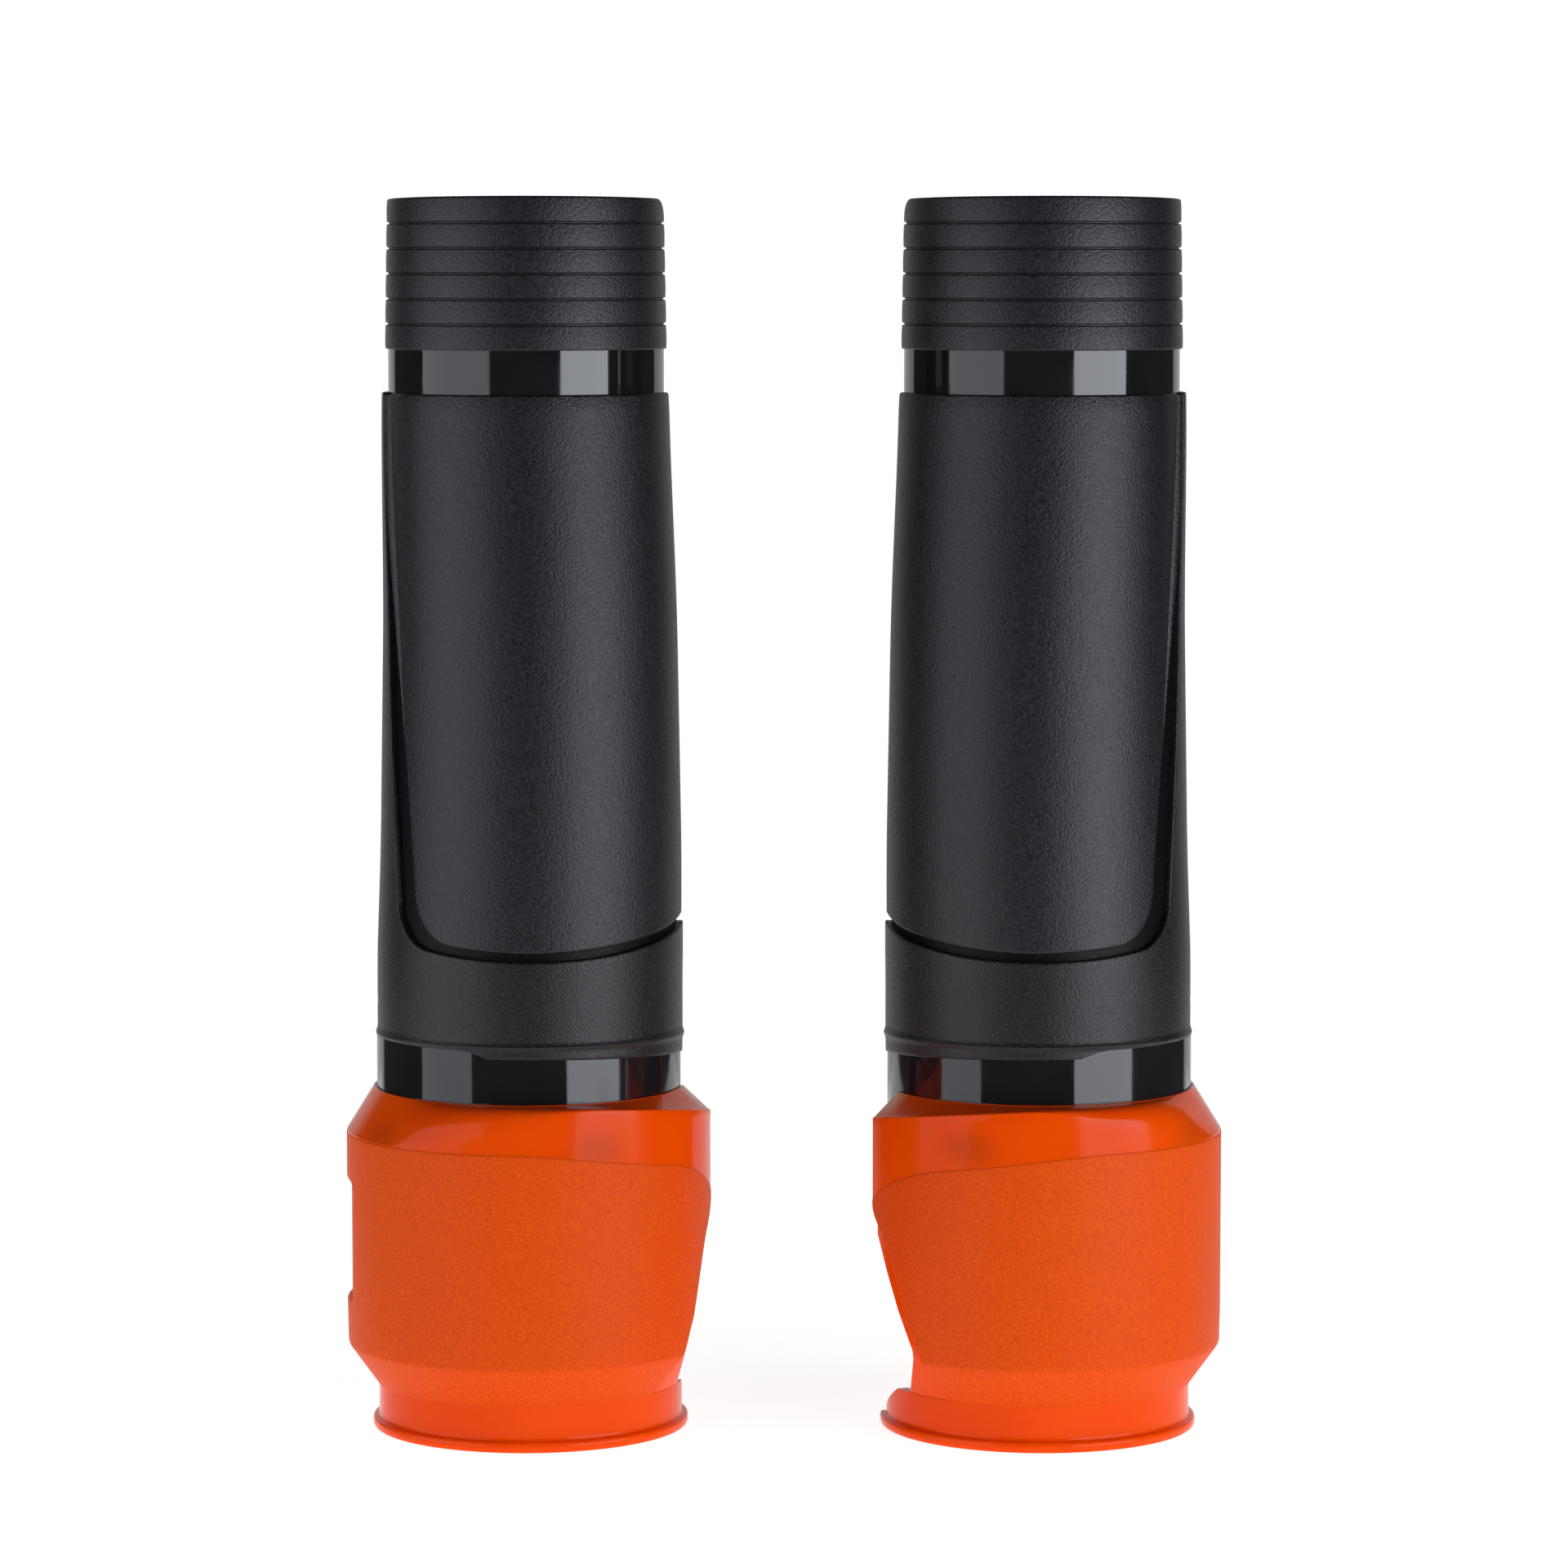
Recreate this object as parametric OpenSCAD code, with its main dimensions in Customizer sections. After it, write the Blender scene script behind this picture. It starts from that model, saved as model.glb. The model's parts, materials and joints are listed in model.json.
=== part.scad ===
// A left and a right split protector for the outer tubes of a motorcycle fork.
// Each one is a black clip-fit sleeve with a loose orange guard turning on its foot.
// Every sub-part is drawn as the left hand one, round its own leg axis on Z, and
// put in place at the end. Angles on a leg run from its front (-Y) towards the
// inner side of the pair, so -90 is the outermost line and +90 the innermost.

/* [Pair] */
// Distance between the two leg axes
leg_spacing = 117; // [110:1:200]
// How much further forward the right guard is turned than the left one
right_guard_turn = 18; // [0:1:22]

/* [Fork tube] */
// Radius of the fork tube that the cuff grips
tube_r = 30; // [29:0.5:30.5]

/* [Sleeve] */
// Outer edge of the split, as an angle from the front
split_outer = -165; // [-168:1:-150]
// Inner edge of the split, as an angle from the front
split_inner = 85; // [80:1:88]
// Height of the top of the cuff
sleeve_top = 281.3; // [275:0.1:290]
// Height of the ribbed cuff
cuff_h = 34; // [28:0.5:38]
// Height of the polished band under the cuff
band_h = 9.8; // [6:0.1:12]
// Height at which the sleeve ends inside the guard
sleeve_foot = 62; // [60:0.5:64]
// Rounding of the sheet's corners at the top of the split
corner_r = 6; // [3:0.5:9]

/* [Cuff] */
// Number of ribs round the cuff
rib_count = 6; // [4:1:8]
// Width of the groove between two ribs
rib_groove_w = 1.1; // [0.6:0.1:1.6]
// Depth of the groove between two ribs
rib_groove_d = 0.55; // [0.3:0.05:0.7]

/* [Shield] */
// Radius of the shield at its top edge
shield_top_r = 32.9; // [32.7:0.1:33.4]
// Radius of the shield near its foot
shield_foot_r = 35.1; // [34.9:0.1:35.6]
// Thickness of the raised frame over the sleeve
frame_t = 1.6; // [1.4:0.1:1.8]
// How far the side panel lies under the frame
panel_recess = 1.0; // [0.7:0.1:1.2]
// Height of the window's front sill
window_z = 111; // [104:0.5:125]
// Angle at which the window's sill leans back
window_lean = 11.15; // [6:0.05:16]
// Rounding of the window's lower corner
window_corner_r = 8; // [5:0.5:10]
// Width of the groove between sill and panel
sill_groove = 1.8; // [1:0.1:3]
// Height of the underside of the bead
bead_z = 87; // [85:0.1:89]
// Height of the bead
bead_h = 5.9; // [4:0.1:7]

/* [Guard] */
// Height of the guard's rim
guard_top = 78.9; // [78:0.1:80]
// Largest radius of the guard
guard_r = 42; // [41.5:0.1:43]
// Thickness of the guard's wall
guard_wall = 2.6; // [2.4:0.1:2.8]
// Thickness of the matt skirt, which is part of that wall
skirt_t = 1.4; // [1.3:0.1:1.5]
// Bore radius of the neck
neck_bore_r = 32.6; // [32:0.1:33]
// Outer radius of the neck
neck_r = 34.9; // [34.6:0.1:35.2]
// Outer radius of the lip
lip_r = 36.35; // [35.8:0.05:37]
// Height of the lip
lip_h = 2.4; // [2:0.1:3]
// Inner end of the neck and the lip, which run on past the wall's cut edge
neck_to = 110; // [95:1:115]
// Length over which the neck falls to the lip before that end
neck_fall = 16; // [8:1:20]
// Gap between the sleeve's foot and the guard's rim
running_gap = 0.1; // [0.05:0.05:0.1]

/* [Guard travel] */
// Turn from mid-travel to either stop
guard_swing = 15; // [10:1:16]
// Angle between the left guard's place and mid-travel
guard_bias = 8; // [4:1:10]

/* [Hidden] */
$fn = 96;

// Heights, from the top down
cuff_z = sleeve_top - cuff_h;
shield_top = cuff_z - band_h;
bead_top = bead_z + bead_h;
knee_z = window_z - 1;

// Window in the shield: it opens from the spine on to the inner edge of the split
window_from = -88;
window_side = -62;
window_turn = 3;
spine_top = -77;
spine_sweep = 20;
panel_top = -71.6;
panel_sweep = 24;

// Soft strips inside the sleeve
pad_inset = 12;
pad_gap = 0.2;
middle_pad_low = 120;
middle_pad_high = 150;
foot_pad_margin = 2;

// Radii of the sleeve
cuff_top_r = tube_r + 1.5;
cuff_foot_r = tube_r + 2.1;
cuff_seat_r = tube_r + 0.9;
band_r = tube_r + 1.4;
bead_r = shield_foot_r + 0.4;
foot_r = shield_foot_r - 0.15;
foot_bore_r = foot_r - 1.75;
belly_bore_r = shield_foot_r - frame_t - 1.5;

// Guard: the shoulder falls from the rim to the wall, the foot draws in to the neck
rim_bore_r = foot_r + running_gap;
rim_r = rim_bore_r + 0.55;
shoulder_z = 69;
wall_foot_z = 22;
chamfer_z = 19.6;
chamfer_r = guard_r - 0.3;
bore_r = guard_r - guard_wall;
lip_bore_r = neck_bore_r + 0.4;

// Raised shelf on the inner half of the shoulder, level at the front, leaning back
shelf_from = -22;
shelf_front_z = guard_top + 0.2;
shelf_lean = 8.4;
shelf_r = guard_r - 0.05;

// Skirt: it lies in a seat in the guard's wall
skirt_foot = 10.4;
skirt_foot_r = neck_r + 0.5;
seat_r = guard_r - skirt_t;
skirt_top = 66.5;
skirt_back_r = chamfer_r - 1.3;
skirt_back_z = chamfer_z + 0.7;
recess_from = -129;
recess_to = -71;
recess_low = 29.6;
recess_high = 58.2;
recess_d = 1.1;

// Scallop in the guard's inner edge
scallop_r = 38;
scallop_z = 25;
scallop_d = 12.5;

// Lugs that hold the guard, and the track that they run in
lug_places = [24, -52, -126];
lug_half = 4;
lug_low = 66;
lug_high = 71.2;
lug_r = foot_r + 2.25;
track_gap = 0.3;
track_floor_t = 2.5;
stop_half = 2;
stop_gap = 1;
track_roof_r = lug_r + 0.4;
track_roof_z = lug_high - 2;
rim_sink = 0.3;

// How far one shape is sunk into another that it joins
bite = 0.5;
far = 60;

function mix(a, b, t) = a + (b - a) * t;
function shield_r(z) = z < knee_z ? shield_foot_r
    : mix(shield_foot_r, shield_top_r, (z - knee_z) / (shield_top - knee_z));
function window_t(z) = (shield_top - z) / (shield_top - window_z - 10);
// Edge of the raised spine, and edge of the panel beside it, as angles from the front
function spine_edge(z) = spine_top + spine_sweep * pow(window_t(z), 1.5);
function panel_edge(z) = panel_top + panel_sweep * pow(window_t(z), 1.3);

// A ring sector between two angles, from a profile of [radius, height] points
module sector(from, to) {
    rotate([0, 0, from - 90]) rotate_extrude(angle = to - from) children();
}

// A prism that points outwards at an angle, from an outline of [along, height] points
module radial_prism(angle) {
    rotate([0, 0, angle]) translate([0, -20, 0]) rotate([90, 0, 0])
        linear_extrude(height = 30) children();
}

// Takes away a sheet's corner; hand is 1 at the inner edge and -1 at the outer one
module corner_cut(angle, z, r, hand) {
    radial_prism(angle) scale_x(hand) difference() {
        translate([-r, z - r]) square([r + 4, r + 1]);
        translate([-r, z - r]) circle(r = r, $fn = 48);
    }
}

module scale_x(hand) {
    if (hand > 0) children();
    else mirror([1, 0]) children();
}

module top_corners() {
    corner_cut(split_inner, sleeve_top, corner_r, 1);
    corner_cut(split_outer, sleeve_top, corner_r, -1);
}

module core_sleeve() {
    color("#161619") difference() {
        sector(split_outer, split_inner) polygon([
            [foot_bore_r, sleeve_foot], [foot_r, sleeve_foot], [foot_r, bead_z],
            [shield_foot_r - frame_t, bead_z], [shield_foot_r - frame_t, knee_z],
            [shield_top_r - frame_t, shield_top], [band_r, shield_top], [band_r, cuff_z],
            [cuff_seat_r, cuff_z], [cuff_seat_r, sleeve_top], [tube_r, sleeve_top],
            [tube_r, shield_top], [belly_bore_r, bead_top], [foot_bore_r, bead_z - 1]
        ]);
        top_corners();
    }
}

module ribbed_cuff() {
    pitch = cuff_h / rib_count;
    grooves = [for (i = [1 : rib_count - 1])
        let (z = cuff_z + i * pitch, r = mix(cuff_foot_r, cuff_top_r, i / rib_count))
        each [
            [r, z - rib_groove_w / 2], [r - rib_groove_d, z - rib_groove_w / 4],
            [r - rib_groove_d, z + rib_groove_w / 4], [r, z + rib_groove_w / 2]
        ]];
    color("#252528") difference() {
        sector(split_outer, split_inner) polygon(concat(
            [[cuff_seat_r, cuff_z], [cuff_foot_r, cuff_z]],
            grooves,
            [[cuff_top_r, sleeve_top], [cuff_seat_r, sleeve_top]]
        ));
        top_corners();
    }
}

// Everything on the spine's side of an edge, and round the window's lower corner
module spine_side(edge_kind, lift) {
    sill = window_z + lift;
    low = sill + window_corner_r;
    edge_u = function(z) shield_r(z)
        * sin((edge_kind == "spine" ? spine_edge(z) : panel_edge(z)) - window_side);
    turn = [for (a = [0 : 15 : 90])
        [edge_u(low) + window_corner_r * (1 - cos(a)), low - window_corner_r * sin(a)]];
    side = [for (i = [0 : 8]) let (z = mix(shield_top, low, i / 8)) [edge_u(z), z]];
    radial_prism(window_side) polygon(concat(
        [[-far, shield_top + 1], [edge_u(shield_top), shield_top + 1]],
        side,
        turn,
        [[edge_u(low) + window_corner_r, sill - 5], [-far, sill - 5]]
    ));
}

// The window inside the raised frame, or the panel's outline inside that window
module window(edge_kind, lift) {
    difference() {
        sector(window_from, split_inner + 2) polygon([
            [tube_r - 2, window_z - 5], [far, window_z - 5],
            [far, shield_top + 1], [tube_r - 2, shield_top + 1]
        ]);
        rotate([0, 0, window_turn]) translate([0, -shield_foot_r, window_z + lift])
            rotate([window_lean, 0, 0]) translate([-far * 2, -far, -far * 2])
            cube([far * 4, far * 4, far * 2]);
        spine_side(edge_kind, lift);
    }
}

module side_panel() {
    foot = shield_foot_r - panel_recess;
    top = shield_top_r - panel_recess;
    color("#232327") intersection() {
        sector(window_from, split_inner) polygon([
            [shield_foot_r - frame_t, window_z - 4], [foot, window_z - 4], [foot, knee_z],
            [top, shield_top], [shield_top_r - frame_t, shield_top],
            [shield_foot_r - frame_t, knee_z]
        ]);
        window("panel", sill_groove);
    }
}

module shield_frame() {
    color("#252529") difference() {
        sector(split_outer, split_inner) polygon([
            [shield_foot_r - frame_t, bead_top], [shield_foot_r, bead_top],
            [shield_foot_r, knee_z], [shield_top_r, shield_top],
            [shield_top_r - frame_t, shield_top], [shield_foot_r - frame_t, knee_z]
        ]);
        window("spine", 0);
    }
}

module shield_bead() {
    round = (bead_h - 0.2) / 2;
    middle = bead_z + bead_h / 2;
    swell = [for (a = [-90 : 15 : 90])
        [bead_r - 0.9 + 0.9 * cos(a), middle + round * sin(a)]];
    color("#252529") sector(split_outer, split_inner) polygon(concat(
        [[shield_foot_r - frame_t, bead_z]],
        swell,
        [[shield_foot_r - frame_t, bead_top]]
    ));
}

module snap_lugs() {
    color("#161619") for (place = lug_places)
        sector(place - lug_half, place + lug_half) polygon([
            [foot_r, lug_low], [lug_r - 0.6, lug_low], [lug_r, lug_low + 0.6],
            [lug_r, lug_high], [foot_r, lug_high]
        ]);
}

// A soft strip stuck inside the sleeve, from its bore to just clear of the tube
module middle_pad() {
    low = middle_pad_low;
    high = middle_pad_high;
    belly = function(z) mix(belly_bore_r, tube_r, (z - bead_top) / (shield_top - bead_top));
    color("#3a3a3a") sector(split_outer + pad_inset, split_inner - pad_inset) polygon([
        [tube_r + pad_gap, low], [belly(low), low],
        [belly(high), high], [tube_r + pad_gap, high]
    ]);
}

module foot_pad() {
    low = sleeve_foot + foot_pad_margin;
    high = bead_z - 1 - foot_pad_margin;
    color("#3a3a3a") sector(split_outer + pad_inset, split_inner - pad_inset) polygon([
        [tube_r + pad_gap, low], [foot_bore_r, low], [foot_bore_r, high],
        [tube_r + pad_gap, high]
    ]);
}

// The wall's inner edge is cut back in one long scallop, down to the neck
module scallop_cut() {
    radial_prism(split_inner) translate([scallop_r - scallop_d, scallop_z])
        circle(r = scallop_r, $fn = 128);
}

module guard_skirt() {
    color("#ec6a2a") difference() {
        sector(split_outer, split_inner) polygon([
            [neck_r, skirt_foot], [skirt_foot_r, skirt_foot], [chamfer_r, chamfer_z],
            [guard_r, wall_foot_z], [guard_r, skirt_top], [seat_r, skirt_top],
            [seat_r, wall_foot_z], [skirt_back_r, skirt_back_z]
        ]);
        scallop_cut();
        sector(recess_from, recess_to) polygon([
            [guard_r - recess_d, recess_low], [guard_r + 1, recess_low],
            [guard_r + 1, recess_high], [guard_r - recess_d, recess_high]
        ]);
    }
}

// The part of the shoulder that stands under the leaning shelf
module shelf_block() {
    low = lug_high + track_gap + bite;
    difference() {
        sector(shelf_from, split_inner - bite) polygon([
            [rim_bore_r + rim_sink, low], [track_roof_r + rim_sink, low],
            [bore_r + 0.6, track_roof_z], [shelf_r, skirt_top + 1],
            [shelf_r, guard_top + 2], [rim_bore_r + rim_sink, guard_top + 2]
        ]);
        translate([0, -guard_r, shelf_front_z]) rotate([-shelf_lean, 0, 0])
            translate([-far, -far, 0]) cube([far * 2, far * 4, far]);
    }
}

module track_stops() {
    reach = guard_swing + lug_half + stop_gap + stop_half;
    low = lug_low - track_gap - bite;
    high = lug_high + track_gap + bite;
    for (place = lug_places, hand = [-1, 1])
        let (middle = place + guard_bias + hand * reach)
        sector(middle - stop_half, middle + stop_half) polygon([
            [rim_bore_r + 0.4, low], [bore_r + bite, low],
            [bore_r + bite, track_roof_z + bite], [track_roof_r + bite, high],
            [rim_bore_r + 0.4, high]
        ]);
}

module guard_shell() {
    track_low = lug_low - track_gap;
    track_high = lug_high + track_gap;
    color("#e14a06") difference() {
        union() {
            sector(split_outer, split_inner) polygon([
                [rim_bore_r, guard_top], [rim_r, guard_top], [guard_r, shoulder_z],
                [guard_r, skirt_top], [seat_r, skirt_top], [seat_r, wall_foot_z],
                [skirt_back_r, skirt_back_z], [neck_r, skirt_foot], [neck_bore_r, skirt_foot],
                [chamfer_r - guard_wall, chamfer_z + 1.3], [bore_r, wall_foot_z + 0.6],
                [bore_r, track_low - track_floor_t], [rim_bore_r, track_low - track_floor_t],
                [rim_bore_r, track_low], [bore_r, track_low], [bore_r, track_roof_z],
                [track_roof_r, track_high], [rim_bore_r, track_high]
            ]);
            shelf_block();
            track_stops();
        }
        scallop_cut();
    }
}

// The neck and the lip under it, the foot the guard stands on
module guard_lip() {
    fall_top = skirt_foot + 1;
    color("#e8560f") difference() {
        sector(split_outer, neck_to) polygon([
            [lip_bore_r, 0], [lip_r - 0.5, 0], [lip_r, 0.7], [lip_r, lip_h - 0.7],
            [lip_r - 0.5, lip_h], [neck_r, lip_h], [neck_r, skirt_foot],
            [neck_bore_r, skirt_foot], [neck_bore_r, lip_h], [lip_bore_r, lip_h]
        ]);
        radial_prism(neck_to)
            polygon([[bite, lip_h + 0.2], [bite, fall_top], [-neck_fall, fall_top]]);
    }
}

module left() {
    translate([-leg_spacing / 2, 0, 0]) children();
}

module right() {
    mirror([1, 0, 0]) left() children();
}

module turned() {
    rotate([0, 0, -right_guard_turn]) children();
}

left() core_sleeve();  // left_core_sleeve
left() ribbed_cuff();  // left_ribbed_cuff
left() side_panel();  // left_side_panel
left() shield_frame();  // left_shield_frame
left() shield_bead();  // left_shield_bead
left() snap_lugs();  // left_snap_lugs
left() middle_pad();  // left_middle_pad
left() foot_pad();  // left_foot_pad
left() guard_shell();  // left_guard_shell
left() guard_skirt();  // left_guard_skirt
left() guard_lip();  // left_guard_lip
right() core_sleeve();  // right_core_sleeve
right() ribbed_cuff();  // right_ribbed_cuff
right() side_panel();  // right_side_panel
right() shield_frame();  // right_shield_frame
right() shield_bead();  // right_shield_bead
right() snap_lugs();  // right_snap_lugs
right() middle_pad();  // right_middle_pad
right() foot_pad();  // right_foot_pad
right() turned() guard_shell();  // right_guard_shell
right() turned() guard_skirt();  // right_guard_skirt
right() turned() guard_lip();  // right_guard_lip
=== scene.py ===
import json
import math

import bmesh
import bpy
import numpy as np
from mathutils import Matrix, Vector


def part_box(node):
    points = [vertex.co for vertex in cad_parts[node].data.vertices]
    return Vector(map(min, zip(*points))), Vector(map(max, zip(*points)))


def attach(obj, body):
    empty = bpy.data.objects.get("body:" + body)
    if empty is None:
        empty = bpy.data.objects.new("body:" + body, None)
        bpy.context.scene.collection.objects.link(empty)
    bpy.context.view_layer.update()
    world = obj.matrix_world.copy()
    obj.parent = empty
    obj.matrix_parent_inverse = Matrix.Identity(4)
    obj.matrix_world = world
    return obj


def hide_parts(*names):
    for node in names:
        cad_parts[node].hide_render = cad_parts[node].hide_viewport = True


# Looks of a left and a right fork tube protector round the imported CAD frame.
# Each piece is drawn as the left hand one, in millimetres round its own leg axis.
# An angle on a leg runs from its front (-Y) towards the inner side of the pair.

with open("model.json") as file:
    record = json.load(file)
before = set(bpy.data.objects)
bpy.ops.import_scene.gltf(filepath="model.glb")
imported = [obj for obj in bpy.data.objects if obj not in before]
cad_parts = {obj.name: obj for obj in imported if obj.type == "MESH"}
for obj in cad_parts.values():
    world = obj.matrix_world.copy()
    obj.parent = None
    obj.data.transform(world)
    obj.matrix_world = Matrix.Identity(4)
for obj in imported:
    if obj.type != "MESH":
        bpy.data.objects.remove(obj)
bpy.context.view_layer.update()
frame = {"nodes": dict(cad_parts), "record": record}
record = frame["record"]

# One millimetre, and the angles where the sheets and the guard's neck end.
M = 0.001
SPLIT_OUTER = -165.0
SPLIT_INNER = 85.0
NECK_INNER = 110.0
RIGHT_TURN = 18.0


# ---------------------------------------------------------------- measures

def leg_x(side):
    """Where a leg's axis stands, in metres."""
    grip = [m for m in record["mounts"] if m["name"] == side + "_tube_grip"][0]
    return grip["pos_m"][0]


def heights(node):
    """Foot and top of a left hand node."""
    low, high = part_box("left_" + node)
    return low.z / M, high.z / M


def reach(node):
    """Largest radius of a left hand node, which it has on its outer side."""
    low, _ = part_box("left_" + node)
    return (leg_x("left") - low.x) / M


def lug_angles():
    """The middle angle of each lug on the left leg, from the lugs' own vertices."""
    lugs = frame["nodes"]["left_snap_lugs"]
    x0 = leg_x("left")
    angles = sorted(math.degrees(math.atan2(v.co.x - x0, -v.co.y)) for v in lugs.data.vertices)
    groups = [[angles[0]]]
    for a in angles[1:]:
        if a - groups[-1][-1] > 20:
            groups.append([])
        groups[-1].append(a)
    return [(g[0] + g[-1]) / 2 for g in groups]


# Heights from the floor
CUFF_LOW, CUFF_TOP = heights("ribbed_cuff")
SHIELD_TOP = heights("shield_frame")[1]
BEAD_LOW, BEAD_TOP = heights("shield_bead")
SLEEVE_LOW, SLEEVE_TOP = heights("core_sleeve")
SKIRT_LOW = heights("guard_skirt")[0]
LUG_LOW, LUG_TOP = heights("snap_lugs")
LIP_LOW, NECK_TOP = heights("guard_lip")
RIM_TOP = 78.9
KNEE_Z = 110.0
WINDOW_Z = 111.0
WALL_LOW = 22.0
WALL_FULL = 28.0
MATTE_TOP = 68.6
FIELD_LOW, FIELD_HIGH = 29.6, 58.2
LIP_H = 2.4

# Radii round the leg's axis
CUFF_R = reach("ribbed_cuff")
SHIELD_R = reach("shield_frame")
BEAD_R = reach("shield_bead")
GUARD_R = reach("guard_shell")
LIP_R = reach("guard_lip")
SHIELD_TOP_R = SHIELD_R - 2.2
BAND_R = CUFF_R - 0.7
TUBE_R = CUFF_R - 2.1
CUFF_BACK = TUBE_R + 0.9
FOOT_R = SHIELD_R - 0.15
FOOT_BORE = 33.2
BELLY_BORE = 32.0
NECK_R = LIP_R - 1.45
NECK_BORE = 32.6
LIP_BORE = 33.0
WALL_R = GUARD_R - 0.15
SEAT_R = GUARD_R - 1.4
WALL_BORE = 39.4
RIM_R = 35.7
RIM_BORE = 35.05

# Thicknesses, depths and corners
FRAME_T = 1.6
PANEL_SUNK = 1.0
SHIELD_BOW = 0.9
FIELD_SUNK = 1.1
NECK_FALL = 16.0
TOP_CORNER = 6.0
MATTE_CORNER = 8.0
CORNER_X, CORNER_Z = 7.0, 9.0

# The sunk field's sides and the lean of the window's sill, in degrees
FIELD_FROM, FIELD_TO = -129, -71
SILL_LEAN = 11.15
RIB_STEPS = (-0.42, -0.36, -0.3, -0.24, -0.18, -0.12, 0, 0.12, 0.18, 0.24, 0.3, 0.36, 0.42)


def shield_radius(z):
    """Outer radius of the shield, which narrows upwards from its knee."""
    return np.interp(z, [KNEE_Z, SHIELD_TOP], [SHIELD_R, SHIELD_TOP_R])


def sleeve_bore(z):
    """Inner radius of the sleeve: wide at its foot, closing to the tube at the top."""
    levels = [SLEEVE_LOW, BEAD_LOW - 1, BEAD_TOP, SHIELD_TOP]
    return np.interp(z, levels, [FOOT_BORE, FOOT_BORE, BELLY_BORE, TUBE_R])


def window_share(z):
    """0 at the window's top and about 1 where its lower corner begins."""
    return np.clip((SHIELD_TOP - z) / (SHIELD_TOP - WINDOW_Z - 10), 0, None)


def spine_edge(z):
    """Angle of the spine's inner edge, which sweeps forward on its way down."""
    return -77 + 20 * window_share(z) ** 1.5


def panel_edge(z):
    """Angle of the panel's edge beside the spine."""
    return -71.6 + 24 * window_share(z) ** 1.3


def sill(theta):
    """Height of the window's lower edge, which leans back."""
    back = SHIELD_R * (1 - np.cos(np.radians(np.asarray(theta) - 3)))
    return WINDOW_Z + math.tan(math.radians(SILL_LEAN)) * back


def rounded_corner(edge, foot, rise, wide, tall):
    """Angle of a window edge near its lower corner, rounded as seen from the front."""
    low = float(sill(-60)) + foot + tall
    x0 = SHIELD_R * math.sin(math.radians(float(edge(low))))
    share = np.clip(1 - rise / tall, 0, 1)
    x = x0 + wide * (1 - np.sqrt(np.clip(1 - share ** 2, 0, None)))
    bend = np.degrees(np.arcsin(x / SHIELD_R))
    return np.where(rise < tall, bend, edge(np.maximum(low - tall + rise, low)))


def crown(theta, z, top):
    """The front of the top edge stands a little higher than its sides."""
    share = np.clip((z - (top - 5.6)) / 5.6, 0, 1)
    return z + 0.55 * np.cos(np.radians(theta)) * share - 0.3 * share


# ---------------------------------------------------------------- mesh tools

def polar(theta, r, z):
    """Points at angles, radii and heights round the leg's axis."""
    a = np.radians(theta)
    return np.stack([r * np.sin(a), -r * np.cos(a), z + 0 * a], -1)


def smooth(x, low, high):
    """0 at low and 1 at high, with soft ends; low may be the larger one."""
    t = np.clip((np.asarray(x) - low) / (high - low), 0, 1)
    return t * t * (3 - 2 * t)


def lean(grid):
    """The shield bows a little towards the pair's inner side between its top and its knee."""
    z = grid[..., 2]
    moved = grid.copy()
    moved[..., 0] += SHIELD_BOW * smooth(z, SHIELD_TOP, 180.0) * (1 - 0.6 * smooth(z, 140.0, 100.0))
    return moved


def stations(low, high, count, edge):
    """Values from low to high, close together within edge of both ends, even between."""
    near = edge * (1 - np.cos(np.radians([0, 22.5, 45, 67.5])))
    low = np.asarray(low, float)[..., None]
    high = np.asarray(high, float)[..., None]
    middle = low + edge + (high - low - 2 * edge) * np.linspace(0, 1, count)
    return np.concatenate([low + near, middle, high - near[::-1]], -1)


def line_distance(points, line):
    """Distance of each point of a grid from a polyline, in the flat."""
    best = np.full(points.shape[:-1], 1e9)
    for a, b in zip(line[:-1], line[1:]):
        ab = b - a
        length = max(float(ab @ ab), 1e-12)
        t = np.clip(((points - a) @ ab) / length, 0, 1)
        gap = np.linalg.norm(points - a - t[..., None] * ab, axis=-1)
        best = np.minimum(best, gap)
    return best


def edge_drop(theta, z, radius, edge, sides="LRBT"):
    """How far a rounded edge lowers each point of a grid whose border is the piece's edge."""
    flat = np.stack([np.radians(theta) * radius, z + 0 * theta], -1)
    lines = {"L": flat[:, 0], "R": flat[:, -1], "B": flat[0], "T": flat[-1]}
    gap = np.min([line_distance(flat, lines[s]) for s in sides], axis=0)
    inside = np.clip(gap, 0, edge)
    return edge - np.sqrt(np.clip(edge ** 2 - (edge - inside) ** 2, 0, None))


def sheet_faces(rows, cols, first):
    """Quads of a closed sheet: its outer grid, its inner grid and the rim that joins them."""
    def outer(i, j):
        return first + i * cols + j

    def inner(i, j):
        return first + rows * cols + i * cols + j

    faces = []
    for i in range(rows - 1):
        for j in range(cols - 1):
            faces.append((outer(i, j), outer(i, j + 1), outer(i + 1, j + 1), outer(i + 1, j)))
            faces.append((inner(i, j), inner(i + 1, j), inner(i + 1, j + 1), inner(i, j + 1)))
    for j in range(cols - 1):
        faces.append((inner(0, j), inner(0, j + 1), outer(0, j + 1), outer(0, j)))
        top = rows - 1
        faces.append((outer(top, j), outer(top, j + 1), inner(top, j + 1), inner(top, j)))
    for i in range(rows - 1):
        faces.append((outer(i, 0), outer(i + 1, 0), inner(i + 1, 0), inner(i, 0)))
        last = cols - 1
        faces.append((inner(i, last), inner(i + 1, last), outer(i + 1, last), outer(i, last)))
    return faces


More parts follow.
